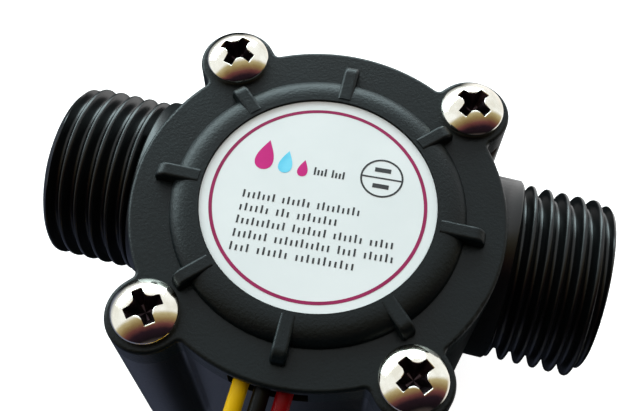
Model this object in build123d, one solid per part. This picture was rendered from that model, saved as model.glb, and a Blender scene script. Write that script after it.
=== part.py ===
"""In-line water flow sensor with an impeller chamber, two male G1/2 ports and a three-wire lead.

Millimetres. The origin is the centre of the base's flat underside, under the impeller's axis.
+Z is up along that axis and +X runs along the pipe, from the inlet to the outlet.
"""

from build123d import *

import math
import os

# Pipe and its two male ports
PIPE_LENGTH = 63.0
PIPE_OFFSET = 4.5  # the pipe passes beside the impeller's axis, towards +Y
PIPE_COVER = 0.45  # from the neck's top up to the seam
NECK_RADIUS = 10.55
THREAD_RADIUS = 10.25
THREAD_DEPTH = 1.16
THREAD_PITCH = 1.814
THREAD_LENGTH = 10.3
THREAD_CREST = 0.46
THREAD_ROOT = 0.24
THREAD_COUNT = 5  # whole grooves between the neck and the end chamfer
THREAD_START = 1.15  # from the neck's end to the first groove's middle
THREAD_END_CHAMFER = 0.75
BORE_RADIUS = 7.0
BORE_DEPTH = 9.5
BORE_CHAMFER = 0.6
NOZZLE_WIDTH = 6.4
NOZZLE_HEIGHT = 9.0
NOZZLE_CORNER = 1.2
NOZZLE_SHIFT = 3.0  # the nozzles lie beyond the pipe's axis, so the stream meets the vane tips
NOZZLE_TAPER = 5.0
NOZZLE_REACH = 0.9  # share of the way to the chamber's wall where a nozzle's cut starts

# Chamber and its outer wall
CHAMBER_OUTER_RADIUS = 19.65
CHAMBER_RADIUS = 14.5
FLOOR_THICKNESS = 4.0
BASE_CHAMFER = 0.5
SCREW_OVERHANG = 0.81  # how far a cover screw's axis lies outside the wall
SCREW_ANGLE = 49.46  # from the pipe's direction, in degrees
LUG_RADIUS = 4.15
LUG_FILLET = 0.6

# Middle plate, over the wet chamber
PLATE_HEIGHT = 20.2
PLATE_THICKNESS = 2.2
SEAT_RADIUS = 16.6
PLATE_CLEARANCE = 0.1
O_RING_WIDTH = 1.3
O_RING_DEPTH = 1.0
O_RING_MIDDLE_RADIUS = 15.5
RUBBER_EDGE = 0.25

# Cover
COVER_THICKNESS = 3.0
COVER_EDGE = 0.45
DOME_RADIUS = 15.35
DOME_HEIGHT = 1.45
DOME_SHOULDER = 2.5  # how far in from its foot the dome is rolled over
DOME_WALL = 1.3
COVER_WALL = 1.75
SPIGOT_WALL = 1.9
SPIGOT_LENGTH = 1.4
SPIGOT_CLEARANCE = 0.15
SEAL_THICKNESS = 1.2
RIB_COUNT = 8
RIB_WIDTH = 1.6
RIB_INNER_RADIUS = 12.65
RIB_OUTER_RADIUS = 17.4
RIB_RISE = 0.1
RIB_EDGE = 0.35
RIB_CORNER = 1.3
RIB_TURN = 1.5
RIB_SCREW_GAP = 0.35  # between a screw head and the rib that points at it
LABEL_RADIUS = 12.2
LABEL_CLEARANCE = 0.08
LABEL_THICKNESS = 0.2
LABEL_RECESS = 0.5

# Cover screws
SCREW_RADIUS = 1.5
SCREW_LENGTH = 12.5
SCREW_TIP = 1.5
SCREW_TIP_RADIUS = 0.3
SCREW_HEAD_RADIUS = 3.4
SCREW_HEAD_HEIGHT = 2.25
SCREW_HEAD_SIDE = 0.7
SCREW_HEAD_DRAFT = 0.12
SCREW_COVER_CLEARANCE = 0.25
SCREW_BODY_CLEARANCE = 0.05
RECESS_SPAN = 3.9
RECESS_SLOT = 1.15
RECESS_DEPTH = 1.6
RECESS_FOOT_SPAN = 2.4
RECESS_FOOT_SLOT = 0.9
RECESS_MOUTH_RADIUS = 1.25
RECESS_FOOT_RADIUS = 0.75
RECESS_TURNS = (73.0, 60.5, 39.0, 52.0)
PILOT_DEPTH = 11.0

# Impeller, magnet and shaft
SHAFT_RADIUS = 1.2
SHAFT_CHAMFER = 0.2
SHAFT_SOCKET = 2.6
SHAFT_SOCKET_CLEARANCE = 0.02
SHAFT_RUNNING_CLEARANCE = 0.06
BOSS_RADIUS = 2.6
BOSS_HEIGHT = 0.6
PLATE_BOSS_HEIGHT = 0.7
BEAD_RADIUS = 2.1
BEAD_THICKNESS = 0.9
BEAD_CHAMFER = 0.3
HUB_RADIUS = 3.0
HUB_PLAY = 0.1
IMPELLER_RADIUS = 12.4
VANE_COUNT = 8
VANE_THICKNESS = 1.1
VANE_LIFT = 1.0
VANE_LEAN = 2.2
VANE_ROOT = 2.4  # the radius where a vane starts, inside the hub
VANE_BOW = 0.77
VANE_SEAT = 0.6  # how deep a vane runs into the disc
DISC_THICKNESS = 1.2
MAGNET_RADIUS = 8.6
MAGNET_BORE = 5.0
MAGNET_THICKNESS = 3.0
MAGNET_CLEARANCE = 0.05
MAGNET_RIM = 1.0

# Circuit board
BOARD_WIDTH = 14.0
BOARD_LENGTH = 15.5
BOARD_FRONT = -11.0
BOARD_THICKNESS = 1.0
BOARD_CORNER = 1.0
BOARD_POST_RADIUS = 1.1
BOARD_POST_SPACING_X = 10.0
BOARD_POST_SPACING_Y = 11.5
SENSOR_WIDTH = 4.1
SENSOR_LENGTH = 3.0
SENSOR_THICKNESS = 1.5
SENSOR_GAP = 0.3
CHIP_LENGTH = 2.0
CHIP_WIDTH = 1.25
CHIP_THICKNESS = 0.5
CHIP_SPACING = 6.0
JOINT_LENGTH = 1.6
JOINT_WIDTH = 1.5
JOINT_HEIGHT = 1.3
JOINT_ROUNDING = 0.39

# Lead
WIRE_RADIUS = 0.85
WIRE_LIFT = 0.05  # between a wire and the board
WIRE_ROOT = -9.2  # where the wires are soldered to the board
WIRE_BEND = -25.0  # where they start to bend down, outside the cover
WIRE_PLACES = (-2.6, -0.4, 1.8)
GROMMET_HOLE_CLEARANCE = 0.05
NOTCH_WIDTH = 8.0
NOTCH_GAP = 0.35  # over the wires
NOTCH_SETBACK = 1.0  # how far the notch runs into the cover's room
GROMMET_LENGTH = 3.2
GROMMET_SETBACK = 1.6
GROMMET_CLEARANCE = 0.05
PLUG_PITCH = 2.5
PLUG_PLACE = (24.0, -34.5)  # where the middle wire meets the plug's back
PLUG_TURN = 16.5  # degrees from +X to the row of its cavities
PLUG_WIDTH = 9.6
PLUG_HEIGHT = 4.6
PLUG_LENGTH = 8.0
PLUG_CORNER = 0.5
PLUG_AXIS_HEIGHT = 1.9
PLUG_RAIL_WIDTH = 1.2
PLUG_RAIL_HEIGHT = 0.8
PLUG_RAIL_SPACING = 5.4
CAVITY_WIDTH = 2.0
CAVITY_HEIGHT = 2.2
WIRE_ENTRY = 1.2  # how far a wire reaches into the plug
TERMINAL_CLEARANCE = 0.1
TERMINAL_LENGTH = 6.0
TERMINAL_HOLE = 1.0
TERMINAL_HOLE_DEPTH = 4.0

CORNER_SHARE = 0.45  # of the shorter run beside a corner, which its arc takes up

# The wires' routes past the cover: down to the floor, round in a loose loop and back to the plug.
# Each starts at WIRE_BEND and ends in its own cavity of the plug.
WIRE_ROUTES = {
    "wire_yellow": [
        (-4.4, -35.4, 17.6),
        (-8.0, -44.0, 0.85),
        (-18.4, -51.6, 0.85),
        (-23.2, -62.4, 0.85),
        (-17.8, -74.4, 0.85),
        (-4.2, -78.4, 0.85),
        (10.0, -77.2, 0.85),
        (22.4, -70.2, 0.85),
        (29.6, -58.2, 0.85),
        (29.8, -45.2, 0.85),
    ],
    "wire_black": [
        (-2.2, -36.0, 17.6),
        (-6.2, -45.4, 0.85),
        (-15.8, -52.8, 0.85),
        (-21.0, -62.4, 0.85),
        (-16.4, -72.6, 0.85),
        (-4.0, -76.2, 0.85),
        (9.4, -75.0, 0.85),
        (20.8, -68.4, 0.85),
        (27.2, -57.6, 0.85),
        (27.4, -45.6, 0.85),
    ],
    "wire_red": [
        (0.0, -36.6, 17.6),
        (-4.4, -46.8, 0.85),
        (-13.4, -53.8, 0.85),
        (-18.8, -62.6, 0.85),
        (-15.0, -71.2, 0.85),
        (-3.8, -74.0, 0.85),
        (8.8, -72.8, 0.85),
        (19.2, -66.6, 0.85),
        (24.8, -57.0, 0.85),
        (25.0, -46.0, 0.85),
    ],
}

PLATE_TOP = PLATE_HEIGHT + PLATE_THICKNESS
SPIGOT_BOTTOM = PLATE_TOP + SEAL_THICKNESS
SEAM = SPIGOT_BOTTOM + SPIGOT_LENGTH
COVER_TOP = SEAM + COVER_THICKNESS
DOME_TOP = COVER_TOP + DOME_HEIGHT
BOARD_BOTTOM = PLATE_TOP + SENSOR_GAP + SENSOR_THICKNESS
BOARD_TOP = BOARD_BOTTOM + BOARD_THICKNESS
WIRE_HEIGHT = BOARD_TOP + WIRE_LIFT + WIRE_RADIUS
NOTCH_TOP = WIRE_HEIGHT + WIRE_RADIUS + NOTCH_GAP
SPIGOT_RADIUS = SEAT_RADIUS - SPIGOT_CLEARANCE
ROOM_RADIUS = DOME_RADIUS - COVER_WALL
ROOM_TOP = DOME_TOP - LABEL_RECESS - DOME_WALL
BEAD_BOTTOM = FLOOR_THICKNESS + BOSS_HEIGHT
HUB_BOTTOM = BEAD_BOTTOM + BEAD_THICKNESS + HUB_PLAY
VANE_BOTTOM = HUB_BOTTOM + VANE_LIFT
HUB_TOP = PLATE_HEIGHT - PLATE_BOSS_HEIGHT - HUB_PLAY
DISC_TOP = HUB_TOP - MAGNET_THICKNESS
DISC_BOTTOM = DISC_TOP - DISC_THICKNESS
PORT_START = PIPE_LENGTH / 2 - THREAD_LENGTH
PIPE_HEIGHT = SEAM - PIPE_COVER - NECK_RADIUS
SCREW_RANGE = CHAMBER_OUTER_RADIUS + SCREW_OVERHANG  # from the impeller's axis to a cover screw's
SCREW_PLACES = [
    (
        x * SCREW_RANGE * math.cos(math.radians(SCREW_ANGLE)),
        y * SCREW_RANGE * math.sin(math.radians(SCREW_ANGLE)),
    )
    for x, y in ((-1, 1), (1, 1), (-1, -1), (1, -1))
]


def ring(outer, inner, bottom, top):
    """A plain ring about the impeller's axis."""
    section = Pos((outer + inner) / 2, (bottom + top) / 2) * Rectangle(outer - inner, top - bottom)
    return revolve(Plane.XZ * section, Axis.Z)


def drum(radius, bottom, top):
    """A round solid about the impeller's axis."""
    return Pos(0, 0, bottom) * extrude(Circle(radius), top - bottom)


def outline():
    """The plan that body and cover share: a round wall with a U-shaped lug round each screw."""
    plan = Circle(CHAMBER_OUTER_RADIUS)
    for x, y in SCREW_PLACES:
        lug = Rectangle(SCREW_RANGE, 2 * LUG_RADIUS, align=(Align.MIN, Align.CENTER))
        lug += Pos(SCREW_RANGE, 0) * Circle(LUG_RADIUS)
        plan += Rot(0, 0, math.degrees(math.atan2(y, x))) * lug
    corners = plan.vertices().filter_by(
        lambda v: abs(math.hypot(v.X, v.Y) - CHAMBER_OUTER_RADIUS) < 0.01
    )
    return fillet(corners, LUG_FILLET)


def port():
    """The outlet's threaded port about the X axis, from the neck's end to the pipe's end."""
    end = PIPE_LENGTH / 2
    root = THREAD_RADIUS - THREAD_DEPTH
    outline_points = [(PORT_START, 0), (PORT_START, THREAD_RADIUS)]
    for number in range(THREAD_COUNT):
        middle = PORT_START + THREAD_START + number * THREAD_PITCH
        mouth = (THREAD_PITCH - THREAD_CREST) / 2
        outline_points += [
            (middle - mouth, THREAD_RADIUS),
            (middle - THREAD_ROOT / 2, root),
            (middle + THREAD_ROOT / 2, root),
            (middle + mouth, THREAD_RADIUS),
        ]
    outline_points += [
        (end - THREAD_END_CHAMFER, THREAD_RADIUS),
        (end, THREAD_RADIUS - THREAD_END_CHAMFER),
        (end, 0),
    ]
    return revolve(make_face(Polyline(*outline_points, close=True)), Axis.X)


def pipe():
    """The outside of the pipe, with its necks and threads."""
    neck = extrude(Plane.YZ * Circle(NECK_RADIUS), PORT_START, both=True)
    neck = chamfer(neck.edges().filter_by(GeomType.CIRCLE), NECK_RADIUS - THREAD_RADIUS)
    return Pos(0, PIPE_OFFSET, PIPE_HEIGHT) * (neck + port() + mirror(port(), Plane.YZ))


def passage(side):
    """A port's bore, its taper and the nozzle into the chamber."""
    end = side * PIPE_LENGTH / 2
    bore_end = side * (PIPE_LENGTH / 2 - BORE_DEPTH)
    taper_end = bore_end - side * NOZZLE_TAPER
    across = Plane(origin=(0, PIPE_OFFSET, PIPE_HEIGHT), x_dir=(0, 1, 0), z_dir=(1, 0, 0))
    mouth = Circle(BORE_RADIUS)
    nozzle = Pos(NOZZLE_SHIFT, 0) * RectangleRounded(NOZZLE_WIDTH, NOZZLE_HEIGHT, NOZZLE_CORNER)
    bore = across * Pos(0, 0, bore_end) * extrude(mouth, end - bore_end)
    throat = loft([across * Pos(0, 0, bore_end) * mouth, across * Pos(0, 0, taper_end) * nozzle])
    reach = PIPE_OFFSET + NOZZLE_SHIFT + NOZZLE_WIDTH / 2
    inside = side * math.sqrt(CHAMBER_RADIUS**2 - reach**2) * NOZZLE_REACH
    jet = across * Pos(0, 0, inside) * extrude(nozzle, taper_end - inside)
    lead_in = across * Pos(0, 0, end) * Cone(
        BORE_RADIUS + BORE_CHAMFER,
        BORE_RADIUS,
        BORE_CHAMFER,
        rotation=(0 if side < 0 else 180, 0, 0),
        align=(Align.CENTER, Align.CENTER, Align.MIN),
    )
    return [bore, throat, jet, lead_in]


def valve_body():
    wall = extrude(outline(), SEAM)
    wall = chamfer(wall.edges().group_by(Axis.Z)[0], BASE_CHAMFER)
    body = wall + pipe()
    body -= drum(CHAMBER_RADIUS, FLOOR_THICKNESS, SEAM)
    body -= drum(SEAT_RADIUS, PLATE_HEIGHT, SEAM)
    groove_inner = O_RING_MIDDLE_RADIUS - O_RING_WIDTH / 2
    groove_outer = O_RING_MIDDLE_RADIUS + O_RING_WIDTH / 2
    body -= ring(groove_outer, groove_inner, PLATE_HEIGHT - O_RING_DEPTH, PLATE_HEIGHT)
    for side in (-1, 1):
        for cut in passage(side):
            body -= cut
    body += drum(BOSS_RADIUS, FLOOR_THICKNESS, BEAD_BOTTOM)
    socket = SHAFT_RADIUS + SHAFT_SOCKET_CLEARANCE
    body -= drum(socket, BEAD_BOTTOM - SHAFT_SOCKET, BEAD_BOTTOM)
    for x, y in SCREW_PLACES:
        pilot = Pos(x, y, 0) * drum(SCREW_RADIUS + SCREW_BODY_CLEARANCE, SEAM - PILOT_DEPTH, SEAM)
        body -= pilot
    return body


def body_o_ring():
    inner = O_RING_MIDDLE_RADIUS - O_RING_WIDTH / 2
    outer = O_RING_MIDDLE_RADIUS + O_RING_WIDTH / 2
    o_ring = ring(outer, inner, PLATE_HEIGHT - O_RING_DEPTH, PLATE_HEIGHT)
    return chamfer(o_ring.edges().filter_by(GeomType.CIRCLE), RUBBER_EDGE)


def middle_plate():
    plate = drum(SEAT_RADIUS - PLATE_CLEARANCE, PLATE_HEIGHT, PLATE_TOP)
    plate += drum(BOSS_RADIUS, PLATE_HEIGHT - PLATE_BOSS_HEIGHT, PLATE_HEIGHT)
    socket = SHAFT_RADIUS + SHAFT_SOCKET_CLEARANCE
    top_socket = PLATE_HEIGHT - PLATE_BOSS_HEIGHT
    plate -= drum(socket, top_socket, top_socket + SHAFT_SOCKET - PLATE_BOSS_HEIGHT)
    board_middle = BOARD_FRONT + BOARD_LENGTH / 2
    for post in GridLocations(BOARD_POST_SPACING_X, BOARD_POST_SPACING_Y, 2, 2):
        place = Pos(0, board_middle, 0) * post
        plate += place * drum(BOARD_POST_RADIUS, PLATE_TOP, BOARD_BOTTOM)
    return plate


def electronics_seal():
    seal = ring(SPIGOT_RADIUS, SPIGOT_RADIUS - SPIGOT_WALL, PLATE_TOP, SPIGOT_BOTTOM)
    return chamfer(seal.edges().filter_by(GeomType.CIRCLE), RUBBER_EDGE)


def rib(outer):
    """One fin over the dome's shoulder, along +X, flat-topped and rounded at its outer end."""
    length = outer - RIB_INNER_RADIUS
    fin = Box(
        length,
        RIB_WIDTH,
        DOME_HEIGHT + RIB_RISE,
        align=(Align.MIN, Align.CENTER, Align.MIN),
    )
    top_end = fin.edges().filter_by(Axis.Y).group_by(Axis.Z)[-1].sort_by(Axis.X)[-1]
    fin = fillet(top_end, min(RIB_CORNER, length / 2))
    rounded = fin.faces().filter_by(Axis.Y).edges().filter_by(lambda e: e.center().Z > RIB_CORNER / 2)
    along_top = rounded.filter_by(lambda e: abs(e.tangent_at(0.5).Z) < 1 - RIB_EDGE)
    fin = fillet(along_top, RIB_EDGE)
    return Pos(RIB_INNER_RADIUS, 0, COVER_TOP) * fin


def dome():
    """The raised round middle of the cover, rolled over to its foot in a quarter of an ellipse."""
    flat = DOME_RADIUS - DOME_SHOULDER
    roll = EllipticalCenterArc(
        (flat, COVER_TOP), DOME_SHOULDER, DOME_HEIGHT, start_angle=0, arc_size=90
    )
    rest = Polyline((flat, DOME_TOP), (0, DOME_TOP), (0, COVER_TOP), (DOME_RADIUS, COVER_TOP))
    return revolve(Plane.XZ * make_face(roll + rest), Axis.Z)


def wire_notch():
    """The way out for the wires, under the cover's front edge."""
    return Box(
        NOTCH_WIDTH,
        CHAMBER_OUTER_RADIUS,
        NOTCH_TOP - SEAM,
        align=(Align.CENTER, Align.MAX, Align.MIN),
    )


def top_cover():
    flange = Pos(0, 0, SEAM) * extrude(outline(), COVER_THICKNESS)
    flange = fillet(flange.edges().group_by(Axis.Z)[-1], COVER_EDGE)
    cover = flange + dome()
    beside_screw = SCREW_RANGE - SCREW_HEAD_RADIUS - RIB_SCREW_GAP
    for number in range(RIB_COUNT):
        outer = RIB_OUTER_RADIUS if number % 2 == 0 else min(RIB_OUTER_RADIUS, beside_screw)
        cover += Rot(0, 0, RIB_TURN + number * 360 / RIB_COUNT) * rib(outer)
    cover += ring(SPIGOT_RADIUS, SPIGOT_RADIUS - SPIGOT_WALL, SPIGOT_BOTTOM, SEAM)
    cover -= drum(LABEL_RADIUS + LABEL_CLEARANCE, DOME_TOP - LABEL_RECESS, DOME_TOP + RIB_RISE)
    cover -= drum(ROOM_RADIUS, SPIGOT_BOTTOM, ROOM_TOP)
    cover -= Pos(0, NOTCH_SETBACK - ROOM_RADIUS, SEAM) * wire_notch()
    for x, y in SCREW_PLACES:
        cover -= Pos(x, y, 0) * drum(SCREW_RADIUS + SCREW_COVER_CLEARANCE, SEAM, COVER_TOP)
    return cover


def label():
    bottom = DOME_TOP - LABEL_RECESS
    return drum(LABEL_RADIUS, bottom, bottom + LABEL_THICKNESS)


def cross_recess():
    """The driver recess: two crossed slots that narrow downwards, and a cone in the middle."""
    slot = Rectangle(RECESS_SPAN, RECESS_SLOT)
    foot = Rectangle(RECESS_FOOT_SPAN, RECESS_FOOT_SLOT)
    cut = loft(
        [foot + Rot(0, 0, 90) * foot, Pos(0, 0, RECESS_DEPTH) * (slot + Rot(0, 0, 90) * slot)]
    )
    cut += Cone(
        RECESS_FOOT_RADIUS,
        RECESS_MOUTH_RADIUS,
        RECESS_DEPTH,
        align=(Align.CENTER, Align.CENTER, Align.MIN),
    )
    return Pos(0, 0, -RECESS_DEPTH) * cut


def cover_screw(turn):
    """A pan head screw, its head's underside on the plane Z = 0."""
    radius = SCREW_HEAD_RADIUS
    side = SCREW_HEAD_SIDE
    high = SCREW_HEAD_HEIGHT
    crown = high - side
    crown_radius = (radius**2 + crown**2) / (2 * crown)
    half_angle = math.asin(radius / crown_radius) / 2
    shoulder = (
        crown_radius * math.sin(half_angle),
        high - crown_radius * (1 - math.cos(half_angle)),
    )
    profile = ThreePointArc((0, high), shoulder, (radius, side)) + Polyline(
        (radius, side),
        (radius - SCREW_HEAD_DRAFT, 0),
        (SCREW_RADIUS, 0),
        (SCREW_RADIUS, SCREW_TIP - SCREW_LENGTH),
        (SCREW_TIP_RADIUS, -SCREW_LENGTH),
        (0, -SCREW_LENGTH),
        (0, high),
    )
    screw = revolve(Plane.XZ * make_face(profile), Axis.Z)
    return screw - Pos(0, 0, high) * Rot(0, 0, turn) * cross_recess()


def vane():
    """One paddle of the impeller, bowed so that the stream is caught by its hollow side."""
    root = (VANE_ROOT, 0)
    middle = ((HUB_RADIUS + IMPELLER_RADIUS) / 2, VANE_BOW)
    tip = (math.sqrt(IMPELLER_RADIUS**2 - VANE_LEAN**2) - VANE_THICKNESS / 2, -VANE_LEAN)
    paddle = trace(ThreePointArc(root, middle, tip), VANE_THICKNESS)
    return Pos(0, 0, VANE_BOTTOM) * extrude(paddle, DISC_BOTTOM + VANE_SEAT - VANE_BOTTOM)


def impeller():
    wheel = drum(HUB_RADIUS, HUB_BOTTOM, HUB_TOP)
    wheel += drum(MAGNET_RADIUS + MAGNET_CLEARANCE + MAGNET_RIM, DISC_BOTTOM, DISC_TOP)
    wheel += ring(
        MAGNET_RADIUS + MAGNET_CLEARANCE + MAGNET_RIM,
        MAGNET_RADIUS + MAGNET_CLEARANCE,
        DISC_TOP,
        HUB_TOP,
    )
    wheel += drum(MAGNET_BORE - MAGNET_CLEARANCE, DISC_TOP, HUB_TOP)
    for number in range(VANE_COUNT):
        wheel += Rot(0, 0, number * 360 / VANE_COUNT) * vane()
    return wheel - drum(SHAFT_RADIUS + SHAFT_RUNNING_CLEARANCE, HUB_BOTTOM, HUB_TOP)


def ring_magnet():
    return ring(MAGNET_RADIUS, MAGNET_BORE, DISC_TOP, HUB_TOP)


def impeller_shaft():
    bottom = BEAD_BOTTOM - SHAFT_SOCKET
    top = PLATE_HEIGHT - PLATE_BOSS_HEIGHT + SHAFT_SOCKET - PLATE_BOSS_HEIGHT
    shaft = drum(SHAFT_RADIUS, bottom, top)
    return chamfer(shaft.edges().filter_by(GeomType.CIRCLE), SHAFT_CHAMFER)


def thrust_bead():
    bead = ring(
        BEAD_RADIUS,
        SHAFT_RADIUS + SHAFT_SOCKET_CLEARANCE,
        BEAD_BOTTOM,
        BEAD_BOTTOM + BEAD_THICKNESS,
    )
    outer = bead.edges().filter_by(GeomType.CIRCLE).group_by(SortBy.RADIUS)[-1]
    return chamfer(outer, BEAD_CHAMFER)


def circuit_board():
    middle = BOARD_FRONT + BOARD_LENGTH / 2
    plan = RectangleRounded(BOARD_WIDTH, BOARD_LENGTH, BOARD_CORNER)
    board = Pos(0, middle, BOARD_BOTTOM) * extrude(plan, BOARD_THICKNESS)
    for x in WIRE_PLACES:
        joint = Box(
            JOINT_WIDTH,
            JOINT_LENGTH,
            JOINT_HEIGHT,
            align=(Align.CENTER, Align.MIN, Align.MIN),
        )
        joint = fillet(joint.edges().group_by(Axis.Z)[-1], JOINT_ROUNDING)
        board += Pos(x, WIRE_ROOT, BOARD_TOP) * joint
    return board


def hall_sensor():
    return Pos(0, -(MAGNET_RADIUS + MAGNET_BORE) / 2, BOARD_BOTTOM - SENSOR_THICKNESS / 2) * Box(
        SENSOR_WIDTH, SENSOR_LENGTH, SENSOR_THICKNESS
    )


def chip(side):
    place = Pos(side * CHIP_SPACING / 2, 0, BOARD_TOP + CHIP_THICKNESS / 2)
    return place * Box(CHIP_LENGTH, CHIP_WIDTH, CHIP_THICKNESS)


def wire_grommet():
    """The rubber block that fills the notch round the three wires."""
    block = Box(
        NOTCH_WIDTH - 2 * GROMMET_CLEARANCE,
        GROMMET_LENGTH,
        NOTCH_TOP - SEAM - GROMMET_CLEARANCE,
        align=(Align.CENTER, Align.MIN, Align.MIN),
    )
    block = Pos(0, GROMMET_SETBACK - CHAMBER_OUTER_RADIUS, SEAM) * block
    for x in WIRE_PLACES:
        hole = Plane.XZ * Pos(x, WIRE_HEIGHT) * Circle(WIRE_RADIUS + GROMMET_HOLE_CLEARANCE)
        block -= extrude(hole, CHAMBER_OUTER_RADIUS)
    return block


def plug_frame(number):
    """The frame of one cavity at the plug's back: X across, Y along the wires, into the plug."""
    turn = Pos(*PLUG_PLACE, 0) * Rot(0, 0, PLUG_TURN)
    return turn * Pos(number * PLUG_PITCH, 0, PLUG_AXIS_HEIGHT)


def wire(place, route, number):
    """A wire swept along straight runs with a wide arc at each corner."""
    start = [(place, WIRE_ROOT, WIRE_HEIGHT), (place, WIRE_BEND, WIRE_HEIGHT)]
    end = plug_frame(number) * Pos(0, WIRE_ENTRY, 0)
    points = [Vector(*point) for point in start + route] + [end.position]
    runs = [after - before for before, after in zip(points, points[1:])]
    radii = [
        CORNER_SHARE * min(one.length, two.length) / math.tan(math.radians(one.get_angle(two)) / 2)
        for one, two in zip(runs, runs[1:])
    ]
    print("wire arcs' radii:", ", ".join(f"{radius:.1f}" for radius in radii))
    path = FilletPolyline(*points, radius=radii)
    section = Plane(origin=path @ 0, z_dir=path % 0) * Circle(WIRE_RADIUS)
    return sweep(section, path=path)


def plug_housing():
    shell = Box(PLUG_WIDTH, PLUG_LENGTH, PLUG_HEIGHT, align=(Align.CENTER, Align.MIN, Align.MIN))
    shell = fillet(shell.edges().filter_by(Axis.Y), PLUG_CORNER)
    rail = Box(
        PLUG_RAIL_WIDTH,
        PLUG_LENGTH,
        PLUG_RAIL_HEIGHT,
        align=(Align.CENTER, Align.MIN, Align.MIN),
    )
    for side in (-1, 1):
        shell += Pos(side * PLUG_RAIL_SPACING / 2, 0, PLUG_HEIGHT) * rail
    cavity = Box(
        CAVITY_WIDTH,
        PLUG_LENGTH,
        CAVITY_HEIGHT,
        align=(Align.CENTER, Align.MIN, Align.CENTER),
    )
    for number in (-1, 0, 1):
        shell -= Pos(number * PLUG_PITCH, 0, PLUG_AXIS_HEIGHT) * cavity
    return Pos(*PLUG_PLACE, 0) * Rot(0, 0, PLUG_TURN) * shell


def crimp_terminal(number):
    """A box contact with a square hole at its mouth."""
    width = CAVITY_WIDTH - 2 * TERMINAL_CLEARANCE
    height = CAVITY_HEIGHT - 2 * TERMINAL_CLEARANCE
    contact = Box(width, TERMINAL_LENGTH, height, align=(Align.CENTER, Align.MIN, Align.CENTER))
    hole = Box(
        TERMINAL_HOLE,
        TERMINAL_HOLE_DEPTH,
        TERMINAL_HOLE,
        align=(Align.CENTER, Align.MAX, Align.CENTER),
    )
    contact -= Pos(0, TERMINAL_LENGTH, 0) * hole
    return plug_frame(number) * Pos(0, WIRE_ENTRY + TERMINAL_CLEARANCE, 0) * contact


def main():
    os.makedirs("parts", exist_ok=True)
    nodes = {
        "valve_body": valve_body(),
        "body_o_ring": body_o_ring(),
        "middle_plate": middle_plate(),
        "electronics_seal": electronics_seal(),
        "top_cover": top_cover(),
        "label": label(),
        "impeller": impeller(),
        "ring_magnet": ring_magnet(),
        "impeller_shaft": impeller_shaft(),
        "thrust_bead": thrust_bead(),
        "circuit_board": circuit_board(),
        "hall_sensor": hall_sensor(),
        "pull_up_resistor": chip(-1),
        "bypass_capacitor": chip(1),
        "wire_grommet": wire_grommet(),
        "plug_housing": plug_housing(),
    }
    for number, place, (name, route) in zip((1, 0, -1), WIRE_PLACES, WIRE_ROUTES.items()):
        nodes[name] = wire(place, route, number)
        nodes[f"crimp_terminal_{2 - number}"] = crimp_terminal(number)
    for number, ((x, y), turn) in enumerate(zip(SCREW_PLACES, RECESS_TURNS), start=1):
        nodes[f"cover_screw_{number}"] = Pos(x, y, COVER_TOP) * cover_screw(turn)
    for name, shape in nodes.items():
        export_step(shape, f"parts/{name}.step")


main()
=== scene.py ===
"""Looks of an in-line water flow sensor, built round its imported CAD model.

The frame is the CAD's: the base stands on z = 0, the pipe runs along X, the impeller turns about Z
and the lead leaves towards -Y. Lengths are in metres unless a comment says millimetres.
"""

import math

import bmesh
import bpy
from mathutils import Matrix, Vector


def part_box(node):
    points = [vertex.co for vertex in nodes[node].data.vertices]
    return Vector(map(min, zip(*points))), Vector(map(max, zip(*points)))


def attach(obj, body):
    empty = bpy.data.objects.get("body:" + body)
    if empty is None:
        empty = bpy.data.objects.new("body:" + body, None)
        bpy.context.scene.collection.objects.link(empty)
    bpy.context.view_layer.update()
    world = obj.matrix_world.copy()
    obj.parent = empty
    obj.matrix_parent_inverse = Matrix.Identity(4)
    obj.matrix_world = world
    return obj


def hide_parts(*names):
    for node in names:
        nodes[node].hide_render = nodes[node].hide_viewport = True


MM = 0.001

# The pipe, as the CAD has it
PIPE_AXIS_Y = 4.5 * MM
PIPE_AXIS_Z = 14.0 * MM
PORT_START = 21.2 * MM
PIPE_END = 31.5 * MM
BORE_LEAD_IN_RADIUS = 7.6 * MM

# The ports' threads: radius, depth, pitch and end chamfer as the CAD has them, with narrower
# crests and roots
THREAD_RADIUS = 10.25 * MM
THREAD_DEPTH = 1.16 * MM
THREAD_PITCH = 1.814 * MM
THREAD_CREST = 0.18 * MM
THREAD_ROOT = 0.2 * MM
THREAD_ROUNDING = 0.3  # share of a flank that is rounded, at its crest and at its root
THREAD_END_CHAMFER = 0.75 * MM
THREAD_COLUMNS = 112  # faces round the pipe
THREAD_ROWS_A_TURN = 20  # faces along it, from one crest to the next
NECK_STEP = 0.05 * MM  # how far under the crests the thread's skin starts at the neck
CREST_ON_SIDE = {1: 22.16 * MM, -1: -29.75 * MM}  # where a crest crosses each port's +Y side

# Tolerances: points of a mesh that lie nearer to each other than a weld are made one
BODY_WELD = 0.001 * MM
THREAD_WELD = 0.002 * MM
SCREW_WELD = 0.0001 * MM
IN_PLANE = 0.01 * MM  # a point this near to a plane counts as in it
PAST_BORE = 0.02 * MM  # a face this far outside the bore's lead-in is on the port's outside

# The cover's screws, in millimetres: heads and shanks as the CAD has them
HEAD_RADIUS = 3.4
HEAD_HEIGHT = 2.25
HEAD_SIDE = 0.7
HEAD_DRAFT = 0.12
HEAD_TURNS = (73.0, 60.5, 39.0, 52.0)  # degrees, of each screw's recess
SHANK_RADIUS = 1.5
SHANK_LENGTH = 12.5
SHANK_TIP = 1.5

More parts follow.
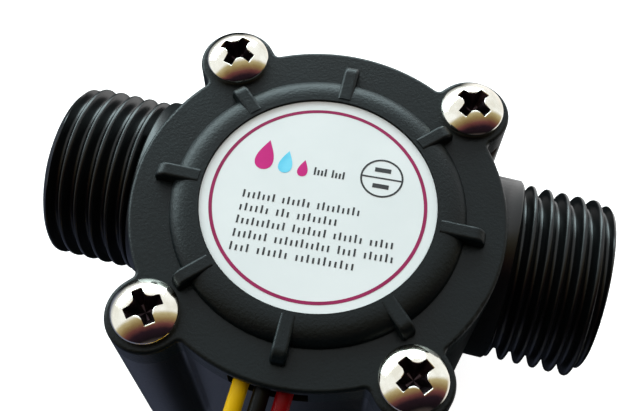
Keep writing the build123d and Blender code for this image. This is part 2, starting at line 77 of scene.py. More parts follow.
# What the CAD has plainer or not at all, in millimetres too: the shank's coarse thread, the
# head's edge and the cross recess
SHANK_PITCH = 1.27
SHANK_ROOT = 1.12
FLANK_SHARE = 0.3  # of the coarse thread's pitch, from its crest down to its root
POINT_SHARE = 0.2  # of the shank's radius, left at its very point
EDGE_WIDTH = 0.08  # how far the edge round the head's top reaches in
EDGE_DROP = 0.12  # how far it reaches down the head's side
EDGE_MIDDLE = 0.02  # how far its middle stands in and down
ARM_REACH = 1.92  # of the cross recess, from the screw's axis
ARM_HALF_WIDTH = 0.56
WEB_RADIUS = 0.8  # the round nose of metal between two arms
RECESS_DEPTH = 1.9
RECESS_POINT = 0.3  # how far the recess's middle lies below that depth
WALL_DEPTHS = (1.0, 0.75, 0.5, 0.25)  # the wall's rows of points, as shares of its height
WALL_TOP = 0.1  # from the rim down to the wall
WALL_SHORTER = 0.35  # how much less high the wall is than the recess is deep
WALL_REACH = 0.96  # share of the mouth's reach at which the wall starts
WALL_LEAN = 0.5  # share of the mouth's reach that the wall loses down to its foot
RIM_STEPS = ((0.05, 0.09), (0.01, 0.03))  # inwards and down from the mouth, to round its rim
RIM_WIDTH = 0.04  # from the mouth out to where the round top starts

# How finely the screws' skin is divided
SCREW_COLUMNS = 120
HEAD_ROWS = 14
SHANK_ROWS = 96
RECESS_ROWS = len(WALL_DEPTHS) + 1  # rows of faces from the recess's point to just under its rim

# The cover's label
LABEL_TOP = 29.15 * MM
PRINT_THICKNESS = 0.02 * MM

# Its print: places and sizes in millimetres, about the label's middle
BORDER_PLACE = (0.0, -0.1)
BORDER_RADIUS = 11.0
BORDER_WIDTH = 0.36
MAGENTA_DROPS = ((-6.7, 4.0, 3.6), (-2.5, 3.4, 2.0))  # each one's place and height
CYAN_DROP = (-4.4, 3.7, 2.7)
DROP_SLIMNESS = 3.1  # a drop's height over its plain radius
DROP_BELLY = 1.15  # widens a drop's belly
DROP_POINT = 1.3  # the power that draws a drop's top to a point
SHORT_ROW_PLACE = (-1.2, 3.25)
SHORT_ROW_LENGTH = 3.0
SHORT_ROW_WORDS = (4, 4)
ROWS_PLACE = (-7.6, -1.1)
ROW_TURN = 4.0  # degrees, of the rows of print
ROW_PITCH = 1.5
ROW_SHIFT = 0.1  # how much further along each row starts than the one above it
ROW_LENGTHS = (11.9, 9.8, 15.8, 16.0, 12.3)
ROW_WORDS = ((7, 6, 9), (6, 3, 8), (10, 7, 6, 5), (7, 11, 4, 6), (4, 6, 11))
STROKE_WIDTH = 0.2
STROKE_HEIGHTS = (0.62, 0.86, 0.62, 0.7, 0.9, 0.62)
MARK_PLACE = (5.7, 4.3)
MARK_RADIUS = 2.15
MARK_LINE = 0.2
MARK_DIVIDER = (4.1, 0.18)
MARK_BAR = (1.7, 0.5)
MARK_BAR_STEP = (-0.07, 0.95)  # from the mark's middle to the bar above it

# The lead
WIRE_RADIUS = 0.85 * MM

# The points of the wires' routes in millimetres, from the board to the plug, as the CAD has them
ROUTES = {
    "wire_yellow": [
        (-2.6, -9.2, 26.1),
        (-2.6, -25.0, 26.1),
        (-4.4, -35.4, 17.6),
        (-8.0, -44.0, 0.85),
        (-18.4, -51.6, 0.85),
        (-23.2, -62.4, 0.85),
        (-17.8, -74.4, 0.85),
        (-4.2, -78.4, 0.85),
        (10.0, -77.2, 0.85),
        (22.4, -70.2, 0.85),
        (29.6, -58.2, 0.85),
        (29.8, -45.2, 0.85),
        (26.06, -32.64, 1.9),
    ],
    "wire_black": [
        (-0.4, -9.2, 26.1),
        (-0.4, -25.0, 26.1),
        (-2.2, -36.0, 17.6),
        (-6.2, -45.4, 0.85),
        (-15.8, -52.8, 0.85),
        (-21.0, -62.4, 0.85),
        (-16.4, -72.6, 0.85),
        (-4.0, -76.2, 0.85),
        (9.4, -75.0, 0.85),
        (20.8, -68.4, 0.85),
        (27.2, -57.6, 0.85),
        (27.4, -45.6, 0.85),
        (23.66, -33.35, 1.9),
    ],
    "wire_red": [
        (1.8, -9.2, 26.1),
        (1.8, -25.0, 26.1),
        (0.0, -36.6, 17.6),
        (-4.4, -46.8, 0.85),
        (-13.4, -53.8, 0.85),
        (-18.8, -62.6, 0.85),
        (-15.0, -71.2, 0.85),
        (-3.8, -74.0, 0.85),
        (8.8, -72.8, 0.85),
        (19.2, -66.6, 0.85),
        (24.8, -57.0, 0.85),
        (25.0, -46.0, 0.85),
        (21.26, -34.06, 1.9),
    ],
}

# The finishes: sizes of their patterns, and how far roughness wanders as shares of its middle
FIBRE_CLOUD_MM = 7.0
STAIN_MM = 1.6
PIT_MM = 0.35  # drawn coarser than real pits, which are too fine to show
SKIN_DEPTH = 0.01 * MM  # height of the pits, and of a smooth plastic's unevenness
PLATING_SPREAD = (0.6, 1.5)
PLASTIC_SPREAD = (0.85, 1.15)
NYLON_IOR = 1.53

# The studio: its bright sides as angles from +X, the sky's and the paper's under the horizon
FLOOR_REACH = 1.5
BACKDROP_RADIUS = 2.4
BRIGHT_SIDE = math.radians(120)
BRIGHT_PAPER_SIDE = math.radians(45)
SKY_STRETCH = (1.0, 1.0, 1.3)  # height counts for more, so the bright side fades sooner upwards
SKY_STRENGTH = 1.15
HORIZON = (-0.3, -0.02)  # heights between which the paper's light gives way to the sky's
# Colours from the far side round to the bright one, by share of the way
ROOM_STOPS = [
    (0.03, "#3a3434"),
    (0.07, "#120e12"),
    (0.2, "#231720"),
    (0.28, "#643a3a"),
    (0.37, "#8a7650"),
    (0.46, "#b4aa84"),
    (0.52, "#f4f8fa"),
]
PAPER_STOPS = [
    (0.31, "#686f84"),
    (0.42, "#24272f"),
    (0.56, "#101214"),
    (0.74, "#1a1d1e"),
    (0.83, "#ffffff"),
]
LIGHTS_AIM = Vector((0, 0, 0.02))

# The camera that was fitted to the photograph, its lens and sensor in millimetres
CAMERA_PLACE = Vector((9.879, -41.725, 112.065)) * MM
CAMERA_FORWARD = Vector((-0.10402, 0.44352, -0.89021))
CAMERA_UP = Vector((-0.22794, 0.86061, 0.45541))
CAMERA_LENS = 51.51
CAMERA_SENSOR_WIDTH = 36.0
CAMERA_NEAREST = 0.005

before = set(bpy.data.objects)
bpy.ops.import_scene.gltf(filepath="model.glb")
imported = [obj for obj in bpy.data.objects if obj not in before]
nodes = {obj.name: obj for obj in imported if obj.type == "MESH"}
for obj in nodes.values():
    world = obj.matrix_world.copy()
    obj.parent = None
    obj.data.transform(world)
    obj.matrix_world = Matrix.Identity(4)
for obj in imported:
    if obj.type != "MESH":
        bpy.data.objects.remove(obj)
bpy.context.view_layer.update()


def linear(hex_colour):
    """The linear RGBA of an sRGB hex colour."""
    parts = [int(hex_colour[start : start + 2], 16) / 255 for start in (1, 3, 5)]
    return tuple(c / 12.92 if c <= 0.04045 else ((c + 0.055) / 1.055) ** 2.4 for c in parts) + (1.0,)


def per(millimetres):
    """The scale that gives a pattern features of this size, in coordinates in metres."""
    return 1 / (millimetres * MM)


def add(tree, kind, inputs=None, stops=(), **properties):
    """Adds one node with its properties, its input values and links, and its colour stops. Inputs
    that share a name are given by number."""
    made = tree.nodes.new(kind)
    for name, value in properties.items():
        setattr(made, name, value)
    for name, value in (inputs or {}).items():
        if isinstance(value, bpy.types.NodeSocket):
            tree.links.new(value, made.inputs[name])
        else:
            made.inputs[name].default_value = value
    for _ in stops[2:]:
        made.color_ramp.elements.new(0.5)
    for number, (position, colour) in enumerate(stops):
        made.color_ramp.elements[number].position = position
        made.color_ramp.elements[number].color = linear(colour)
    return made


def new_material(name):
    """A material that holds only its Principled shader, which is given too."""
    material = bpy.data.materials.new(name)
    material.use_nodes = True
    tree = material.node_tree
    tree.nodes.clear()
    shader = add(tree, "ShaderNodeBsdfPrincipled")
    add(tree, "ShaderNodeOutputMaterial", {"Surface": shader.outputs["BSDF"]})
    return material, shader


def eroded_nylon(name, dark, light, grain_mm, grain_depth_mm, rough_low, rough_high, gloss):
    """Glass-filled nylon from a spark-eroded mould: a fine even grain that breaks up the gloss,
    with faint cloudy patches where the fibres lie near the skin. The real grain is too fine to
    show, and it is drawn coarser so that it does."""
    material, shader = new_material(name)
    tree = material.node_tree
    place = add(tree, "ShaderNodeTexCoord").outputs["Object"]
    clouds = add(
        tree, "ShaderNodeTexNoise", {"Vector": place, "Scale": per(FIBRE_CLOUD_MM), "Detail": 3.0}
    ).outputs["Fac"]
    grain = add(
        tree,
        "ShaderNodeTexNoise",
        {"Vector": place, "Scale": per(grain_mm), "Detail": 2.0, "Roughness": 0.6},
    ).outputs["Fac"]
    colour = add(tree, "ShaderNodeValToRGB", {"Fac": clouds}, stops=[(0.3, dark), (0.7, light)])
    roughness = add(
        tree, "ShaderNodeMapRange", {"Value": grain, "To Min": rough_low, "To Max": rough_high}
    )
    bump = add(
        tree, "ShaderNodeBump", {"Height": grain, "Distance": grain_depth_mm * MM, "Strength": 0.8}
    )
    tree.links.new(colour.outputs["Color"], shader.inputs["Base Color"])
    tree.links.new(roughness.outputs["Result"], shader.inputs["Roughness"])
    tree.links.new(bump.outputs["Normal"], shader.inputs["Normal"])
    shader.inputs["IOR"].default_value = NYLON_IOR
    shader.inputs["Specular IOR Level"].default_value = gloss
    return material


def plated_steel(name, bright, stained, rough):
    """Plated or ground metal: a mirror with faint stains, its gloss broken up by fine pits."""
    material, shader = new_material(name)
    tree = material.node_tree
    place = add(tree, "ShaderNodeTexCoord").outputs["Object"]
    stains = add(
        tree, "ShaderNodeTexNoise", {"Vector": place, "Scale": per(STAIN_MM), "Detail": 4.0}
    ).outputs["Fac"]
    pits = add(
        tree, "ShaderNodeTexNoise", {"Vector": place, "Scale": per(PIT_MM), "Detail": 3.0}
    ).outputs["Fac"]
    low, high = PLATING_SPREAD
    colour = add(
        tree, "ShaderNodeValToRGB", {"Fac": stains}, stops=[(0.35, stained), (0.6, bright)]
    )
    roughness = add(
        tree, "ShaderNodeMapRange", {"Value": pits, "To Min": rough * low, "To Max": rough * high}
    )
    bump = add(tree, "ShaderNodeBump", {"Height": pits, "Distance": SKIN_DEPTH, "Strength": 0.35})
    tree.links.new(colour.outputs["Color"], shader.inputs["Base Color"])
    tree.links.new(roughness.outputs["Result"], shader.inputs["Roughness"])
    tree.links.new(bump.outputs["Normal"], shader.inputs["Normal"])
    shader.inputs["Metallic"].default_value = 1.0
    return material


def smooth_plastic(name, dark, light, rough, gloss=0.5, patch_mm=3.0):
    """A smooth plastic, rubber or ink: an even colour with slight clouding and a barely uneven
    skin."""
    material, shader = new_material(name)
    tree = material.node_tree
    place = add(tree, "ShaderNodeTexCoord").outputs["Object"]
    clouds = add(
        tree, "ShaderNodeTexNoise", {"Vector": place, "Scale": per(patch_mm), "Detail": 3.0}
    ).outputs["Fac"]
    low, high = PLASTIC_SPREAD
    colour = add(tree, "ShaderNodeValToRGB", {"Fac": clouds}, stops=[(0.35, dark), (0.65, light)])
    roughness = add(
        tree, "ShaderNodeMapRange", {"Value": clouds, "To Min": rough * low, "To Max": rough * high}
    )
    bump = add(tree, "ShaderNodeBump", {"Height": clouds, "Distance": SKIN_DEPTH, "Strength": 0.3})
    tree.links.new(colour.outputs["Color"], shader.inputs["Base Color"])
    tree.links.new(roughness.outputs["Result"], shader.inputs["Roughness"])
    tree.links.new(bump.outputs["Normal"], shader.inputs["Normal"])
    shader.inputs["Specular IOR Level"].default_value = gloss
    return material


def self_lit(name, colour, rough, glow, strength):
    """A matt surface with a glow of its own, which keeps the picture's ground even."""
    material, shader = new_material(name)
    shader.inputs["Base Color"].default_value = linear(colour)
    shader.inputs["Roughness"].default_value = rough
    shader.inputs["Emission Color"].default_value = linear(glow)
    shader.inputs["Emission Strength"].default_value = strength
    return material


def dress(piece, material):
    """Makes this the only material of a piece."""
    piece.data.materials.clear()
    piece.data.materials.append(material)


def new_piece(name, mesh_or_curve, material, replaces=()):
    """A new piece on the housing, with its finish and the nodes that it stands for."""
    piece = bpy.data.objects.new(name, mesh_or_curve)
    bpy.context.scene.collection.objects.link(piece)
    mesh_or_curve.materials.append(material)
    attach(piece, "housing")
    if replaces:
        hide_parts(*replaces)
    return piece


def closed_mesh(name, bm):
    """The mesh of a closed skin, with its faces turned outwards."""
    bmesh.ops.recalc_face_normals(bm, faces=bm.faces)
    mesh = bpy.data.meshes.new(name)
    bm.to_mesh(mesh)
    bm.free()
    return mesh


def shade(mesh, sharp_degrees=32):
    """Smooth shading with creases at the sharp edges."""
    for polygon in mesh.polygons:
        polygon.use_smooth = True
    mesh.set_sharp_from_angle(angle=math.radians(sharp_degrees))


def thread_depth(along):
    """How far the thread lies below its crest, at a distance along the axis from a crest."""
    near = abs((along / THREAD_PITCH + 0.5) % 1.0 - 0.5) * THREAD_PITCH
    crest = THREAD_CREST / 2
    flank = THREAD_PITCH / 2 - THREAD_ROOT / 2 - crest
    share = min(max((near - crest) / flank, 0.0), 1.0)
    rounding = THREAD_ROUNDING
    if share < rounding:
        share = share**2 / (2 * rounding)
    elif share > 1 - rounding:
        share = 1 - rounding - (1 - share) ** 2 / (2 * rounding)
    else:
        share -= rounding / 2
    return THREAD_DEPTH * share / (1 - rounding)


def add_thread(bm, side):
    """Adds one port's helical thread as a skin from the neck to the pipe's end."""
    low, high = sorted((side * PORT_START, side * PIPE_END))
    first = math.floor((low - CREST_ON_SIDE[side]) / THREAD_PITCH - 2) * THREAD_ROWS_A_TURN
    last = math.ceil((high - CREST_ON_SIDE[side]) / THREAD_PITCH + 1) * THREAD_ROWS_A_TURN

    def vertex(column, row):
        turn = column / THREAD_COLUMNS
        along = CREST_ON_SIDE[side] + (row / THREAD_ROWS_A_TURN + turn) * THREAD_PITCH
        x = min(max(along, low), high)
        radius = THREAD_RADIUS - thread_depth(x - CREST_ON_SIDE[side] - turn * THREAD_PITCH)
        end_limit = THREAD_RADIUS - THREAD_END_CHAMFER + abs(side * PIPE_END - x)
        neck_limit = THREAD_RADIUS - NECK_STEP if x == side * PORT_START else THREAD_RADIUS
        radius = min(radius, end_limit, neck_limit)
        angle = math.tau * turn
        return bm.verts.new(
            (x, PIPE_AXIS_Y + radius * math.cos(angle), PIPE_AXIS_Z + radius * math.sin(angle))
        )

    grid = {
        (column, row): vertex(column, row)
        for column in range(THREAD_COLUMNS + 1)
        for row in range(first, last + 1)
    }
    for column in range(THREAD_COLUMNS):
        for row in range(first, last):
            corners = [
                grid[column, row],
                grid[column, row + 1],
                grid[column + 1, row + 1],
                grid[column + 1, row],
            ]
            bm.faces.new(corners)
    bmesh.ops.remove_doubles(bm, verts=list(grid.values()), dist=THREAD_WELD)


def from_pipe_axis(point):
    """A point's distance from the pipe's axis."""
    return math.hypot(point.y - PIPE_AXIS_Y, point.z - PIPE_AXIS_Z)


def round_pipe_axis(vertex):
    """A vertex's angle about the pipe's axis."""
    return math.atan2(vertex.co.z - PIPE_AXIS_Z, vertex.co.y - PIPE_AXIS_Y)


def open_rims(bm, x):
    """The two open rims in the plane at x, each as its vertices in order round the pipe's axis."""
    waiting = {
        vertex
        for edge in bm.edges
        if edge.is_boundary and all(abs(end.co.x - x) < IN_PLANE for end in edge.verts)
        for vertex in edge.verts
    }
    rims = []
    while waiting:
        rim, reached = set(), [waiting.pop()]
        while reached:
            vertex = reached.pop()
            rim.add(vertex)
            for edge in vertex.link_edges:
                other = edge.other_vert(vertex)
                if edge.is_boundary and other in waiting:
                    waiting.discard(other)
                    reached.append(other)
        rims.append(sorted(rim, key=round_pipe_axis))
    return rims


def close_between(bm, rim, other):
    """Fills the flat ring between two rims with triangles, walking round both together."""
    near = far = 0

    def ahead(vertices, step):
        return round_pipe_axis(vertices[step % len(vertices)]) + math.tau * (step // len(vertices))

    while near < len(rim) or far < len(other):
        here, there = rim[near % len(rim)], other[far % len(other)]
        if far == len(other) or (near < len(rim) and ahead(rim, near + 1) <= ahead(other, far + 1)):
            near += 1
            bm.faces.new((here, rim[near % len(rim)], there))
        else:
            far += 1
            bm.faces.new((here, other[far % len(other)], there))


def moulded_body():
    """The body with its ports' plain rings taken off and helical threads in their place."""
    bm = bmesh.new()
    bm.from_mesh(nodes["valve_body"].data)
    bmesh.ops.remove_doubles(bm, verts=bm.verts, dist=BODY_WELD)
    rings = [
        face
        for face in bm.faces
        if all(abs(vertex.co.x) > PORT_START - IN_PLANE for vertex in face.verts)
        and from_pipe_axis(face.calc_center_median()) > BORE_LEAD_IN_RADIUS + PAST_BORE
    ]
    bmesh.ops.delete(bm, geom=rings, context="FACES")
    for side in (1, -1):
        add_thread(bm, side)
        for x in (side * PORT_START, side * PIPE_END):
            close_between(bm, *open_rims(bm, x))
    loose = [vertex for vertex in bm.verts if not vertex.link_faces]
    bmesh.ops.delete(bm, geom=loose, context="VERTS")
    mesh = closed_mesh("moulded_body", bm)
    shade(mesh)
    for polygon in mesh.polygons:
        polygon.use_smooth = abs(polygon.center.x) < PIPE_END - IN_PLANE
    return mesh


def recess_mouth(angle):
    """How far the cross recess reaches from the screw's axis, at an angle from one of its arms."""
    turn = abs((angle + math.pi / 4) % (math.pi / 2) - math.pi / 4)
    if math.tan(turn) <= ARM_HALF_WIDTH / ARM_REACH:
        return ARM_REACH / math.cos(turn)
    centre = ARM_HALF_WIDTH + WEB_RADIUS
    if math.tan(turn) <= ARM_HALF_WIDTH / centre:
        return ARM_HALF_WIDTH / math.sin(turn)
    along = centre * (math.cos(turn) + math.sin(turn))
    return along - math.sqrt(along**2 - 2 * centre**2 + WEB_RADIUS**2)


def head_crown(radius):
    """Height of the head's round top over its underside."""
    crown = HEAD_HEIGHT - HEAD_SIDE
    sphere = (HEAD_RADIUS**2 + crown**2) / (2 * crown)
    return HEAD_HEIGHT - sphere + math.sqrt(sphere**2 - radius**2)


def shank_radius(height, angle):
    """Radius of the coarse thread's surface at a height under the head."""
    along = (height / SHANK_PITCH + angle / math.tau) % 1.0
    crest = max(0.0, 1 - abs(along - 0.5) / FLANK_SHARE)
    tip = min(1.0, (SHANK_LENGTH + height) / SHANK_TIP)
    whole = SHANK_ROOT + (SHANK_RADIUS - SHANK_ROOT) * crest
    return whole * (POINT_SHARE + (1 - POINT_SHARE) * tip)


def screw_outline(angle, turn):
    """Radius and height of the screw's skin, from the recess's point out to the shank's point."""
    mouth = recess_mouth(angle - turn)
    rim = head_crown(mouth)
    outline = [(0.0, HEAD_HEIGHT - RECESS_DEPTH - RECESS_POINT)]
    for share in WALL_DEPTHS:
        reach = mouth * (WALL_REACH - WALL_LEAN * share)
        outline.append((reach, rim - WALL_TOP - (RECESS_DEPTH - WALL_SHORTER) * share))
    outline += [(mouth - inwards, rim - down) for inwards, down in RIM_STEPS]
    inner, outer = mouth + RIM_WIDTH, HEAD_RADIUS - EDGE_WIDTH
    for row in range(HEAD_ROWS + 1):
        radius = inner + (outer - inner) * row / HEAD_ROWS
        outline.append((radius, head_crown(radius)))
    outline.append((HEAD_RADIUS - EDGE_MIDDLE, HEAD_SIDE - EDGE_MIDDLE))
    outline.append((HEAD_RADIUS, HEAD_SIDE - EDGE_DROP))
    outline.append((HEAD_RADIUS - HEAD_DRAFT, 0.0))
    outline.append((SHANK_RADIUS, 0.0))
    for row in range(SHANK_ROWS + 1):
        height = -SHANK_LENGTH * row / SHANK_ROWS
        outline.append((shank_radius(height, angle), height))
    outline.append((0.0, -SHANK_LENGTH))
    return outline


def pan_head_screw(name, turn_degrees):
    """A self-tapping screw in place of a plain one: round-nosed cross recess and coarse thread."""
    low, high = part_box(name)
    x, y = (low[0] + high[0]) / 2, (low[1] + high[1]) / 2
    z = low[2] + SHANK_LENGTH * MM
    bm = bmesh.new()
    rings = []
    for column in range(SCREW_COLUMNS):
        angle = math.tau * column / SCREW_COLUMNS
        outline = screw_outline(angle, math.radians(turn_degrees))
        rings.append(
            [
                bm.verts.new((x + r * MM * math.cos(angle), y + r * MM * math.sin(angle), z + h * MM))
                for r, h in outline
            ]
        )
    for column, ring in enumerate(rings):
        after = rings[(column + 1) % SCREW_COLUMNS]
        for row in range(len(ring) - 1):
            face = bm.faces.new((ring[row], after[row], after[row + 1], ring[row + 1]))
            # Faces in the recess take the second material, which is painted shade
            face.material_index = 1 if row < RECESS_ROWS else 0
    bmesh.ops.remove_doubles(bm, verts=bm.verts, dist=SCREW_WELD)
    mesh = closed_mesh(name, bm)
    shade(mesh, sharp_degrees=50)
    return mesh


def wire_curve(name, points):
    """A wire as one smooth NURBS curve with its route's points as control points."""
    curve = bpy.data.curves.new(name, "CURVE")
    curve.dimensions = "3D"
    curve.bevel_depth = WIRE_RADIUS
    curve.bevel_resolution = 6
    curve.resolution_u = 16
    curve.use_fill_caps = True
    spline = curve.splines.new("NURBS")
    spline.points.add(len(points) - 1)
    for control, (x, y, z) in zip(spline.points, points):
        control.co = (x * MM, y * MM, z * MM, 1.0)
    spline.order_u = 3
    spline.use_endpoint_u = True
    return curve


def flat_print(name, outlines, material):
    """Thin ink on the label: each outline is a list of (x, y) in millimetres, extruded a little."""
    bm = bmesh.new()
    for outline in outlines:
        base = [bm.verts.new((x * MM, y * MM, LABEL_TOP)) for x, y in outline]
        face = bm.faces.new(base)
        lifted = bmesh.ops.extrude_face_region(bm, geom=[face])["geom"]
        moved = [item for item in lifted if isinstance(item, bmesh.types.BMVert)]
        bmesh.ops.translate(bm, verts=moved, vec=(0, 0, PRINT_THICKNESS))
    new_piece(name, closed_mesh(name, bm), material)


def ring_outline(x, y, radius, width, steps=160):
    """A flat ring as quads, each an outline of its own."""
    inner, outer = radius - width / 2, radius + width / 2

    def place(r, step):
        angle = math.tau * step / steps
        return (x + r * math.cos(angle), y + r * math.sin(angle))

    return [
        [place(inner, step), place(outer, step), place(outer, step + 1), place(inner, step + 1)]
        for step in range(steps)
    ]


def bar_outline(x, y, width, height):
    """An upright stroke or a dash about its middle, turned with the rows of print."""
    turn = math.radians(ROW_TURN)
    corners = [(-width, -height), (width, -height), (width, height), (-width, height)]
    return [
        (
            x + (a * math.cos(turn) - b * math.sin(turn)) / 2,
            y + (a * math.sin(turn) + b * math.cos(turn)) / 2,
        )
        for a, b in corners
    ]


def drop_outline(x, y, height, steps=40):
    """A plain water drop with its point up."""
    radius = height / DROP_SLIMNESS
    outline = []
    for step in range(steps):
        angle = math.tau * step / steps
        narrow = abs(math.sin(angle / 2)) ** DROP_POINT
        outline.append(
            (
                x + radius * DROP_BELLY * math.sin(angle) * narrow,
                y + height / 2 * math.cos(angle),
            )
        )
    return outline


def row_of_strokes(x, y, length, words):
    """A row of upright strokes in groups, which stands for a line of small print."""
    count = sum(words) + len(words) - 1
    turn = math.radians(ROW_TURN)
    outlines = []
    place = 0
    for word in words:
        for stroke in range(word):
            along = length * place / (count - 1)
            height = STROKE_HEIGHTS[(stroke + word) % len(STROKE_HEIGHTS)]
            low = (height - STROKE_HEIGHTS[0]) / 2
            outlines.append(
                bar_outline(
                    x + along * math.cos(turn) - low * math.sin(turn),
                    y + along * math.sin(turn) + low * math.cos(turn),
                    STROKE_WIDTH,
                    height,
                )
            )
            place += 1
        place += 1
    return outlines


# Cover: near black with a blue-green cast, matt and grainy, so that it takes a broad soft sheen
cover_nylon = eroded_nylon(
    "eroded_cover_nylon",
    dark="#020708",
    light="#050e10",
    grain_mm=0.3,
    grain_depth_mm=0.05,
    rough_low=0.32,
    rough_high=0.46,
    gloss=0.2,
)
# Body: the same plastic, nearly without grain, blacker, with clear streaks of light on the threads
body_nylon = eroded_nylon(
    "moulded_body_nylon",
    dark="#030405",
    light="#060809",
    grain_mm=0.4,
    grain_depth_mm=0.003,
    rough_low=0.24,
    rough_high=0.36,
    gloss=0.32,
)
# Middle plate: plain dark grey moulding, a dull even sheen
plate_nylon = smooth_plastic("plate_nylon", "#1c1d1f", "#232427", rough=0.45)
# Screw heads: warm white nickel that mirrors the room in sharp bands
screw_plating = plated_steel("nickel_plated_screw", "#f3efe4", "#e2dccd", rough=0.1)
# Screw recesses: painted shade, a brown-grey rough metal darker than the heads, so they stay dark
recess_painted_shade = plated_steel("painted_shade_in_recess", "#4a3c40", "#32282c", rough=0.42)
# Shaft and bead: cool ground steel with a soft mirror
shaft_steel = plated_steel("ground_shaft_steel", "#c9cacb", "#b6b7b8", rough=0.25)
# Label: satin white film, nearly even, with a broad soft sheen
label_film = smooth_plastic("satin_label_film", "#cfd2d2", "#d5d7d7", rough=0.42, patch_mm=9.0)
# Inks: flat solid colours, the two magentas with little gloss and the border's the deeper one
magenta_ink = smooth_plastic("magenta_ink", "#b81870", "#c21e78", rough=0.45, gloss=0.2)
ring_ink = smooth_plastic("deep_magenta_ink", "#861446", "#90184e", rough=0.45, gloss=0.2)
cyan_ink = smooth_plastic("cyan_ink", "#4db9d8", "#6fcbe4", rough=0.4)
black_ink = smooth_plastic("black_ink", "#17181b", "#202225", rough=0.4)
# O-ring, seal and grommet: dull black rubber that hardly shines
nitrile = smooth_plastic("nitrile_rubber", "#0b0b0c", "#121213", rough=0.6)
# Impeller: milky white with a waxy sheen
acetal = smooth_plastic("white_acetal", "#dcdad2", "#e5e3dc", rough=0.32)
# Magnet: dark grey, dull and finely mottled, as pressed powder is
ferrite = smooth_plastic("pressed_ferrite", "#2b2b2d", "#38383a", rough=0.6, patch_mm=0.8)
# Board: glossy deep green
laminate = smooth_plastic("green_laminate", "#0d4a26", "#13582f", rough=0.3, patch_mm=1.5)
# Sensor and chips: dull near-black moulding
epoxy = smooth_plastic("chip_epoxy", "#101011", "#18181a", rough=0.5)
# Plug: creamy, slightly waxy nylon without pigment
natural_nylon = smooth_plastic("natural_nylon", "#e6e3d6", "#edebe0", rough=0.38)
# Terminals: grey-white tin with a blurred mirror
tin = plated_steel("tinned_bronze", "#c8c6c0", "#b0aea8", rough=0.3)
# Wires: even extruded colour with a weak, soft sheen along it
insulation = {
    "wire_yellow": smooth_plastic("yellow_pvc", "#dcae00", "#e6b902", rough=0.4, gloss=0.12),
    "wire_black": smooth_plastic("black_pvc", "#050606", "#080909", rough=0.3, gloss=0.14),
    "wire_red": smooth_plastic("red_pvc", "#74040a", "#82080f", rough=0.4, gloss=0.1),
}

FINISHES = {
    "top_cover": cover_nylon,
    "middle_plate": plate_nylon,
    "label": label_film,
    "body_o_ring": nitrile,
    "electronics_seal": nitrile,
    "wire_grommet": nitrile,
    "impeller": acetal,
    "ring_magnet": ferrite,
    "impeller_shaft": shaft_steel,
    "thrust_bead": shaft_steel,
    "circuit_board": laminate,
    "hall_sensor": epoxy,
    "pull_up_resistor": epoxy,
    "bypass_capacitor": epoxy,
    "plug_housing": natural_nylon,
    **{f"crimp_terminal_{number}": tin for number in (1, 2, 3)},
}


def add_screws():
    """The four screws, their recesses in the second material, a darker metal that paints shade in
    them.
    """
    for number, turn in enumerate(HEAD_TURNS, start=1):
        name = f"cover_screw_{number}"
        mesh = pan_head_screw(name, turn)
        screw = new_piece(f"pan_head_{number}", mesh, screw_plating, replaces=[name])
        screw.data.materials.append(recess_painted_shade)


def add_lead():
    """The three wires, as curves in place of the CAD's."""
    for number, (name, points) in enumerate(ROUTES.items(), start=1):
        colour = name.removeprefix("wire_")
        wire = new_piece(
            f"{colour}_wire",
            wire_curve(name, points),
            insulation[name],
            replaces=[name],
        )


def print_label():
    """The label's border, drops, rows of strokes and round mark."""
    flat_print("label_ring", ring_outline(*BORDER_PLACE, BORDER_RADIUS, BORDER_WIDTH), ring_ink)
    flat_print("label_drops", [drop_outline(*drop) for drop in MAGENTA_DROPS], magenta_ink)
    flat_print("label_middle_drop", [drop_outline(*CYAN_DROP)], cyan_ink)
    strokes = row_of_strokes(*SHORT_ROW_PLACE, SHORT_ROW_LENGTH, SHORT_ROW_WORDS)
    across, up = ROWS_PLACE
    for number, (length, words) in enumerate(zip(ROW_LENGTHS, ROW_WORDS)):
        strokes += row_of_strokes(
            across + ROW_SHIFT * number, up - ROW_PITCH * number, length, words
        )
    flat_print("label_rows", strokes, black_ink)
    mark = ring_outline(*MARK_PLACE, MARK_RADIUS, MARK_LINE, steps=72)
    mark.append(bar_outline(*MARK_PLACE, *MARK_DIVIDER))
    for side in (-1, 1):
        x = MARK_PLACE[0] + MARK_BAR_STEP[0] * side
        y = MARK_PLACE[1] + MARK_BAR_STEP[1] * side
        mark.append(bar_outline(x, y, *MARK_BAR))
    flat_print("label_mark", mark, black_ink)


def stage_piece(name, bm, material, unseen_by):
    """The floor or the backdrop, which isn't part of the sensor and which some rays don't see."""
    mesh = bpy.data.meshes.new(name)
    bm.to_mesh(mesh)
    bm.free()
    piece = bpy.data.objects.new(name, mesh)
    bpy.context.scene.collection.objects.link(piece)
    dress(piece, material)
    for ray in unseen_by:
        setattr(piece, f"visible_{ray}", False)


def add_floor():
    """White paper, lit evenly enough to lose its edge in the picture."""
    bm = bmesh.new()
    bmesh.ops.create_grid(bm, x_segments=1, y_segments=1, size=FLOOR_REACH)
    paper = self_lit("lit_white_paper", "#c8c8c8", rough=0.9, glow="#ffffff", strength=0.93)
    stage_piece("studio_floor", bm, paper, unseen_by=["glossy"])


def add_backdrop():
    """A pale shell round the studio that the camera sees and the sensor doesn't."""
    bm = bmesh.new()
    bmesh.ops.create_uvsphere(bm, u_segments=48, v_segments=24, radius=BACKDROP_RADIUS)
    cloth = self_lit("pale_backdrop", "#000000", rough=0.5, glow="#f1f3f4", strength=1.0)
    unseen_by = ["diffuse", "glossy", "transmission", "shadow"]
    stage_piece("studio_backdrop", bm, cloth, unseen_by)


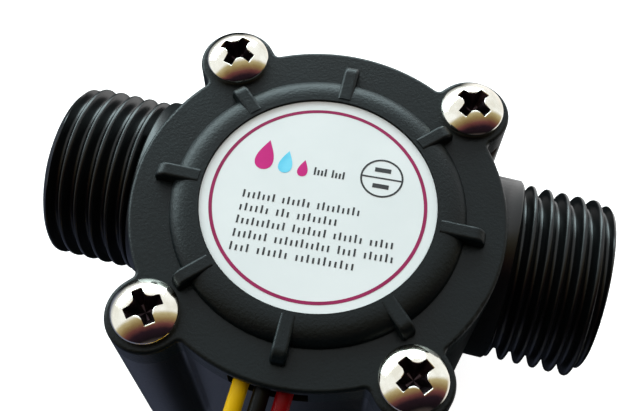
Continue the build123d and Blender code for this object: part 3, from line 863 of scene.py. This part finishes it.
def towards(tree, direction, angle):
    """0 to 1: how far a direction points to the side at an angle from +X."""
    side = (math.cos(angle), math.sin(angle), 0.0)
    facing = add(tree, "ShaderNodeVectorMath", {0: direction, 1: side}, operation="DOT_PRODUCT")
    return add(
        tree,
        "ShaderNodeMapRange",
        {"Value": facing.outputs["Value"], "From Min": -1.0, "From Max": 1.0},
    ).outputs["Result"]


def add_sky():
    """The room that the sensor mirrors: bright on one side, with dark paper under the horizon."""
    world = bpy.data.worlds.new("studio_world")
    world.use_nodes = True
    tree = world.node_tree
    tree.nodes.clear()
    direction = add(tree, "ShaderNodeTexCoord").outputs["Generated"]
    raised = add(
        tree, "ShaderNodeVectorMath", {0: direction, 1: SKY_STRETCH}, operation="MULTIPLY"
    ).outputs["Vector"]
    evened = add(tree, "ShaderNodeVectorMath", {0: raised}, operation="NORMALIZE").outputs["Vector"]
    room_side = towards(tree, evened, BRIGHT_SIDE)
    paper_side = towards(tree, direction, BRIGHT_PAPER_SIDE)
    room = add(
        tree, "ShaderNodeValToRGB", {"Fac": room_side}, stops=ROOM_STOPS
    ).outputs["Color"]
    paper = add(
        tree, "ShaderNodeValToRGB", {"Fac": paper_side}, stops=PAPER_STOPS
    ).outputs["Color"]
    height = add(tree, "ShaderNodeSeparateXYZ", {"Vector": direction}).outputs["Z"]
    low, high = HORIZON
    above = add(
        tree, "ShaderNodeMapRange", {"Value": height, "From Min": low, "From Max": high}
    ).outputs["Result"]
    blend = add(tree, "ShaderNodeMix", {0: above, 6: paper, 7: room}, data_type="RGBA")
    background = add(
        tree, "ShaderNodeBackground", {"Color": blend.outputs[2], "Strength": SKY_STRENGTH}
    )
    add(tree, "ShaderNodeOutputWorld", {"Surface": background.outputs["Background"]})
    bpy.context.scene.world = world


def add_softbox(name, place, size, radiance, colour):
    """A rectangular light that faces the sensor, as bright on each square metre as is said."""
    light = bpy.data.lights.new(name, "AREA")
    light.shape = "RECTANGLE"
    light.size, light.size_y = size
    light.energy = radiance * math.pi * size[0] * size[1]
    light.color = linear(colour)[:3]
    lamp = bpy.data.objects.new(name, light)
    bpy.context.scene.collection.objects.link(lamp)
    lamp.location = place
    lamp.rotation_euler = (LIGHTS_AIM - Vector(place)).to_track_quat("-Z", "Y").to_euler()
    return lamp


def add_lights():
    """A low wide window behind the sensor, and a weak fill that no gloss shows."""
    add_softbox(
        "low_window", place=(-0.4, 0.57, 0.26), size=(1.5, 0.4), radiance=7.5, colour="#dcf6fa"
    )
    overhead = add_softbox(
        "overhead_fill", place=(-0.05, 0.1, 0.9), size=(1.2, 1.2), radiance=0.3, colour="#f6fbff"
    )
    overhead.visible_glossy = False


def add_camera():
    """The camera at the photograph's place and angle."""
    camera = bpy.data.objects.new("photo_camera", bpy.data.cameras.new("photo_camera"))
    bpy.context.scene.collection.objects.link(camera)
    forward = CAMERA_FORWARD.normalized()
    right = forward.cross(CAMERA_UP).normalized()
    turn = Matrix((right, right.cross(forward), -forward)).transposed().to_4x4()
    camera.matrix_world = Matrix.Translation(CAMERA_PLACE) @ turn
    camera.data.lens = CAMERA_LENS
    camera.data.sensor_width = CAMERA_SENSOR_WIDTH
    camera.data.clip_start = CAMERA_NEAREST
    bpy.context.scene.camera = camera
    bpy.context.scene.view_settings.view_transform = "Standard"


for name, material in FINISHES.items():
    dress(nodes[name], material)
new_piece("moulded_body", moulded_body(), body_nylon, replaces=["valve_body"])
add_screws()
add_lead()
print_label()

add_floor()
add_backdrop()
add_sky()
add_lights()
add_camera()
